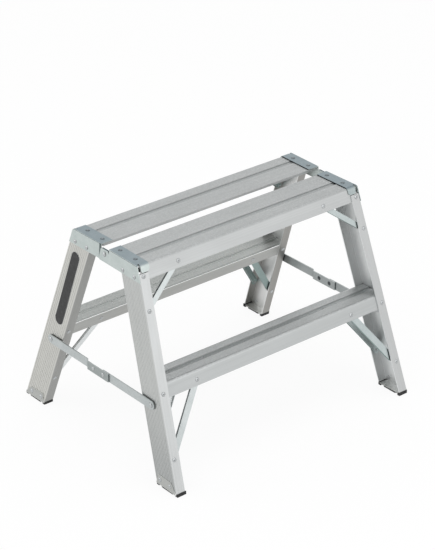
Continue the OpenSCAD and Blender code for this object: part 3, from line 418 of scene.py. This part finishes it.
# Painted shade on the front right cap's front faces and on the lapped cap where it lies against the
# other cap; a painted shadow line on the caps' cut edges over the deck
cap_finish = zinc_plate("zinc_plate_cap", *CAP_ZINC, edge=DECK_Z)
right_cap_finish = zinc_plate("zinc_plate_front_right_cap", *CAP_ZINC,
                              shaded=(TO_FRONT, "#e2e5e8"), edge=DECK_Z)
lapped_cap_finish = zinc_plate("zinc_plate_lapped_cap", *CAP_ZINC,
                               edge=DECK_Z, lap=(HINGE_LAP_Y, "#7d8485"))
# The left braces are a lighter copy of the right braces' zinc, and the lit zinc a lighter one
# still, as painted light; the right braces and bars carry painted shade on their faces that look
# down and out to the left, and the lapped bar where the bars lap
left_brace_finish = zinc_plate("zinc_plate_left_brace", "#c6cbcb", "#b9bfbf", rough=0.34,
                               crevice_shading=False)
lit_zinc_finish = zinc_plate("zinc_plate_lit", "#e4e7e7", "#d8dcdc", rough=0.4, crevice_shading=False)
right_brace_finish = zinc_plate("zinc_plate_right_brace", "#bfc7c7", "#b1baba", rough=0.34,
                                shaded=(DOWN, "#bfcdca"))
bar_finish = zinc_plate("zinc_plate_bar", *BAR_ZINC)
lap_bar_finish = zinc_plate("zinc_plate_lap_bar", *BAR_ZINC, lap=(JOGGLE_Y, "#dcdedd"))
right_bar_finish = zinc_plate("zinc_plate_right_bar", *BAR_ZINC, shaded=(OUT_LEFT, "#dbdbdb"))

rubber_finish = moulded_rubber("moulded_black_rubber")

# Tops of the rivet heads: bright on the pivots and studs, painted shade on the caps' rivets
BRIGHT_TOP, SHADED_TOP = "#c4c7c8", "#747c80"
pivot_finish = bright_rivet("bright_rivet_pivots", [ALONG, OUT_LEFT], BRIGHT_TOP)
# Painted shade on the right studs' faces that look out to the left
right_stud_finish = bright_rivet("bright_rivet_right_studs", [ALONG, OUT_LEFT], BRIGHT_TOP,
                                 OUT_LEFT)

# A node takes the finish of the first ending that its name has
FINISHES = (
    ("_top_tread", top_tread_finish),
    ("rear_lower_tread", rear_lower_tread_finish),
    ("_lower_tread", lower_tread_finish),
    ("front_right_cap", right_cap_finish),
    ("rear_left_cap", lapped_cap_finish),
    ("_cap", cap_finish),
    ("left_upper_brace", left_brace_finish),
    ("left_outer_brace", left_brace_finish),
    ("left_inner_brace", lit_zinc_finish),
    ("_brace", right_brace_finish),
    ("left_rear_bar", lap_bar_finish),
    ("left_front_bar", bar_finish),
    ("_bar", right_bar_finish),
    ("right_front_bar_stud", right_stud_finish),
    ("right_rear_bar_studs", right_stud_finish),
    ("_washer", bar_finish),
    ("_spacers", bar_finish),
    ("_shoe", shoe_finish),
    ("_sole", rubber_finish))

# Legs differ in colour as painted light and shade
LEG_LIT_COLOURS = {
    "front_left_leg": ("#cacccc", "#c2c4c4"), "rear_left_leg": ("#cfcfcc", "#c7c7c4"),
    "front_right_leg": ("#e2e4e4", "#dadcdc"), "rear_right_leg": ("#e0e1e0", "#d8d9d8")}
# How squarely a leg's face looks a way where its tint is nil and full
LEG_FACE = (0.7, 0.95)
# Height below which the front left leg's web grows darker towards the bottom
WEB_LOW_Z = 260


def leg_finish(node, rear):
    """Each leg's own colour, lighter or darker as painted light and shade, with tints for its web
    and its flanges.
    """
    right = "right" in node
    side = leg_matrix(rear, right).to_3x3()
    web, inner, outer = (side @ Vector(v) for v in (OUT_LEFT, TO_REAR, TO_FRONT))
    # Painted shade on the webs and flanges by the way they look; the front left leg's web also
    # darkens towards the bottom
    tints = [(web, *LEG_FACE, "#dcdddc" if right else "#fbfbf9", None)]
    tints += {
        "front_left_leg": [UNDER, (web, *LEG_FACE, "#e2e3e4", WEB_LOW_Z)],
        "rear_left_leg": [UNDER, (inner, *LEG_FACE, "#f0f0ee", None)],
        "front_right_leg": [(outer, *LEG_FACE, "#dadada", None)],
        "rear_right_leg": [(inner, *LEG_FACE, "#b6b4b1", None),
                           (outer, *LEG_FACE, "#dadada", None)]}[node]
    return extruded_aluminium("mill_aluminium_" + node, *LEG_LIT_COLOURS[node], side @ Vector(UP),
                              rough=0.42, tints=tints)


def finish_for(node):
    rear = node.startswith("rear")
    if node.endswith("_leg"):
        return leg_finish(node, rear)
    if node.endswith("_rivets"):
        sides = [leg_matrix(rear, right).to_3x3() for right in (False, True)]
        axes = [UP] + [m @ Vector(v) for m in sides for v in (OUT_LEFT, TO_FRONT, TO_REAR)]
        if "_cap_" in node:
            # Painted shade on the tops and front faces of the caps' rivets
            return bright_rivet("bright_rivet_" + node, axes, SHADED_TOP, TO_FRONT)
        return bright_rivet("bright_rivet_" + node, axes, BRIGHT_TOP)
    for ending, finish in FINISHES:
        if node.endswith(ending):
            return finish
    return pivot_finish


for node_name, node_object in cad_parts.items():
    node_finish = finish_for(node_name)
    for slot in node_object.material_slots:
        slot.material = node_finish

# Bare label on the rear left leg: an oblong film with round ends, and its pale rim
LABEL_LEN, LABEL_W, LABEL_T = 248, 33, 0.3
LABEL_MID_ACROSS, LABEL_MID_UP = 40, 430
# The label is stuck on a little crooked
LABEL_TURN = math.radians(1.4)
RIM_W, RIM_LIFT = 0.9, 0.05
# Each corner's round takes just under half of the width, so that the rounds don't meet
ROUND_SHARE, ROUND_STEPS = 0.499, 14


def label_plate(name, length, width, lift, finish):
    """A rounded oblong plate lying on the web, lifted off it by a small distance."""
    bpy.ops.object.select_all(action="DESELECT")
    bpy.ops.mesh.primitive_cube_add(size=1)
    plate = bpy.context.object
    plate.name = name
    plate.dimensions = (LABEL_T * MM, width * MM, length * MM)
    bpy.ops.object.transform_apply(location=False, rotation=False, scale=True)
    bpy.ops.object.mode_set(mode="EDIT")
    bpy.ops.mesh.select_mode(type="EDGE")
    bpy.ops.mesh.select_all(action="DESELECT")
    bpy.ops.object.mode_set(mode="OBJECT")
    # The four edges that run through the film's thickness become its round ends
    for edge in plate.data.edges:
        a, b = (plate.data.vertices[i].co for i in edge.vertices)
        edge.select = abs(a.x - b.x) > LABEL_T * MM / 2
    bpy.ops.object.mode_set(mode="EDIT")
    bpy.ops.mesh.bevel(offset=width * ROUND_SHARE * MM, segments=ROUND_STEPS, affect="EDGES")
    bpy.ops.object.mode_set(mode="OBJECT")
    at = Matrix.Translation(
        (-(lift + LABEL_T / 2) * MM, LABEL_MID_ACROSS * MM, LABEL_MID_UP * MM))
    plate.matrix_world = leg_matrix(True, False) @ at @ Matrix.Rotation(LABEL_TURN, 4, "X")
    bpy.ops.object.transform_apply(location=True, rotation=True, scale=True)
    bpy.ops.object.mode_set(mode="EDIT")
    bpy.ops.mesh.select_all(action="SELECT")
    bpy.ops.mesh.normals_make_consistent(inside=False)
    bpy.ops.object.mode_set(mode="OBJECT")
    plate.data.materials.clear()
    plate.data.materials.append(finish)
    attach(plate, "rear_frame")


label_plate("label_rim", LABEL_LEN, LABEL_W, RIM_LIFT,
            label_film("printed_vinyl_rim", "#8d9091", "#a6a9aa"))
label_plate("label_face", LABEL_LEN - 2 * RIM_W, LABEL_W - 2 * RIM_W, LABEL_T,
            label_film("printed_vinyl_dark", "#161718", "#3c3e3f"))

# Fill behind the open corner of each cap, between its side plate and its tab: painted shade
# as a black rubber strip on the left, painted light as a sheet of lit zinc on the right
SLOT_FILL_SIZE = (11.9, 1.4, 14.3)
SLOT_FILL_OUT, SLOT_FILL_BACK, SLOT_FILL_UP = 370.05, 134.4, 563.3
SLOT_FILL_ROUND, SLOT_FILL_ROUND_STEPS = 0.4, 3


def cap_slot_fills(finishes):
    """One strip with softened edges, copied to the four caps."""
    bpy.ops.object.select_all(action="DESELECT")
    bpy.ops.mesh.primitive_cube_add(size=1)
    strip = bpy.context.object
    strip.dimensions = [side * MM for side in SLOT_FILL_SIZE]
    bpy.ops.object.transform_apply(location=False, rotation=False, scale=True)
    bpy.ops.object.mode_set(mode="EDIT")
    bpy.ops.mesh.select_all(action="SELECT")
    bpy.ops.mesh.bevel(offset=SLOT_FILL_ROUND * MM, segments=SLOT_FILL_ROUND_STEPS, affect="EDGES")
    bpy.ops.object.mode_set(mode="OBJECT")
    for end, back in (("front", -1), ("rear", 1)):
        for hand, out in (("left", -1), ("right", 1)):
            bpy.ops.object.select_all(action="DESELECT")
            strip.select_set(True)
            bpy.context.view_layer.objects.active = strip
            bpy.ops.object.duplicate()
            copy = bpy.context.object
            copy.name = f"{end}_{hand}_cap_slot_fill"
            copy.data.materials.clear()
            copy.data.materials.append(finishes[hand])
            across = back * LAP_SHIFT / 2 + out * SLOT_FILL_OUT
            copy.location = Vector((across, back * SLOT_FILL_BACK, SLOT_FILL_UP)) * MM
            bpy.ops.object.transform_apply(location=True, rotation=True, scale=True)
            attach(copy, end + "_frame")
    bpy.data.objects.remove(strip)


cap_slot_fills({"left": rubber_finish, "right": lit_zinc_finish})

# Studio: pale floor, white surroundings, soft lamps. Sizes in metres, lamps in watts.
FLOOR_SIZE = 30
# Share of the floor's look that is plain white, and the surroundings' strength as a lamp
FLOOR_WHITE, WORLD_LIGHT = 0.9, 0.92
LAMP_AIM = Vector((0, 0, 0.3))


def seen_directly(t):
    """One for a ray from the eye, a mirror or a window, and nothing for light on a matt surface."""
    path = put(t, "ShaderNodeLightPath")
    seen = put(t, "ShaderNodeMath",
               {0: path.outputs["Is Camera Ray"], 1: path.outputs["Is Glossy Ray"]},
               operation="MAXIMUM")
    return put(t, "ShaderNodeMath",
               {0: seen.outputs[0], 1: path.outputs["Is Transmission Ray"]},
               operation="MAXIMUM").outputs[0]


def studio_floor():
    bpy.ops.object.select_all(action="DESELECT")
    bpy.ops.mesh.primitive_plane_add(size=FLOOR_SIZE, location=(0, 0, 0))
    floor = bpy.context.object
    floor.name = "floor"
    mat, t = new_material("pale_studio_floor")
    share = put(t, "ShaderNodeMath", {0: seen_directly(t), 1: FLOOR_WHITE}, operation="MULTIPLY")
    matt = put(t, "ShaderNodeBsdfDiffuse", {"Color": linear("#f2f2f2")})
    white = put(t, "ShaderNodeEmission", {"Color": (1, 1, 1, 1), "Strength": 1.0})
    mix = put(t, "ShaderNodeMixShader",
              {0: share.outputs[0], 1: matt.outputs[0], 2: white.outputs[0]})
    put(t, "ShaderNodeOutputMaterial", {"Surface": mix.outputs[0]})
    floor.data.materials.append(mat)


def studio_world():
    world = bpy.data.worlds.new("white_studio")
    bpy.context.scene.world = world
    world.use_nodes = True
    t = world.node_tree
    t.nodes.clear()
    level = put(t, "ShaderNodeMapRange",
                {"Value": seen_directly(t), "To Min": WORLD_LIGHT, "To Max": 1.0})
    sky = put(t, "ShaderNodeBackground", {"Color": (1, 1, 1, 1), "Strength": level.outputs[0]})
    put(t, "ShaderNodeOutputWorld", {"Surface": sky.outputs[0]})


def soft_lamp(name, place, size, power):
    data = bpy.data.lights.new(name, "AREA")
    data.shape = "DISK"
    data.size = size
    data.energy = power
    lamp = bpy.data.objects.new(name, data)
    bpy.context.scene.collection.objects.link(lamp)
    lamp.location = place
    lamp.rotation_euler = (LAMP_AIM - Vector(place)).to_track_quat("-Z", "Y").to_euler()


studio_floor()
studio_world()
soft_lamp("key_lamp", (0.8, -3.3, 1.6), size=3.2, power=19)
soft_lamp("fill_lamp", (-3.0, 2.4, 1.2), size=2.4, power=14)
soft_lamp("top_lamp", (-0.6, -0.6, 3.8), size=3.0, power=22)

bpy.context.scene.view_settings.view_transform = "Standard"

# Camera, fitted to the photograph: 435 by 550, no shift
PHOTO_H = 550
FOCAL_PX = 2055.84
SENSOR = 36
AZIMUTH, ELEVATION, ROLL = (math.radians(a) for a in (-40.083, 27.789, 0.373))
TARGET = Vector((0, 0.000995, 0.36954))
DISTANCE = 5.54823
CLIP_END = 100


def photo_camera():
    data = bpy.data.cameras.new("photo_camera")
    data.sensor_fit = "VERTICAL"
    data.sensor_height = SENSOR
    data.lens = FOCAL_PX / PHOTO_H * SENSOR
    data.clip_end = CLIP_END
    camera = bpy.data.objects.new("photo_camera", data)
    bpy.context.scene.collection.objects.link(camera)
    flat = math.cos(ELEVATION)
    out = Vector((math.sin(AZIMUTH) * flat, -math.cos(AZIMUTH) * flat, math.sin(ELEVATION)))
    right = Vector((math.cos(AZIMUTH), math.sin(AZIMUTH), 0))
    up = out.cross(right)
    turned_right = right * math.cos(ROLL) + up * math.sin(ROLL)
    turned_up = up * math.cos(ROLL) - right * math.sin(ROLL)
    axes = Matrix((turned_right, turned_up, out)).transposed().to_4x4()
    camera.matrix_world = Matrix.Translation(TARGET + out * DISTANCE) @ axes
    bpy.context.scene.camera = camera


photo_camera()
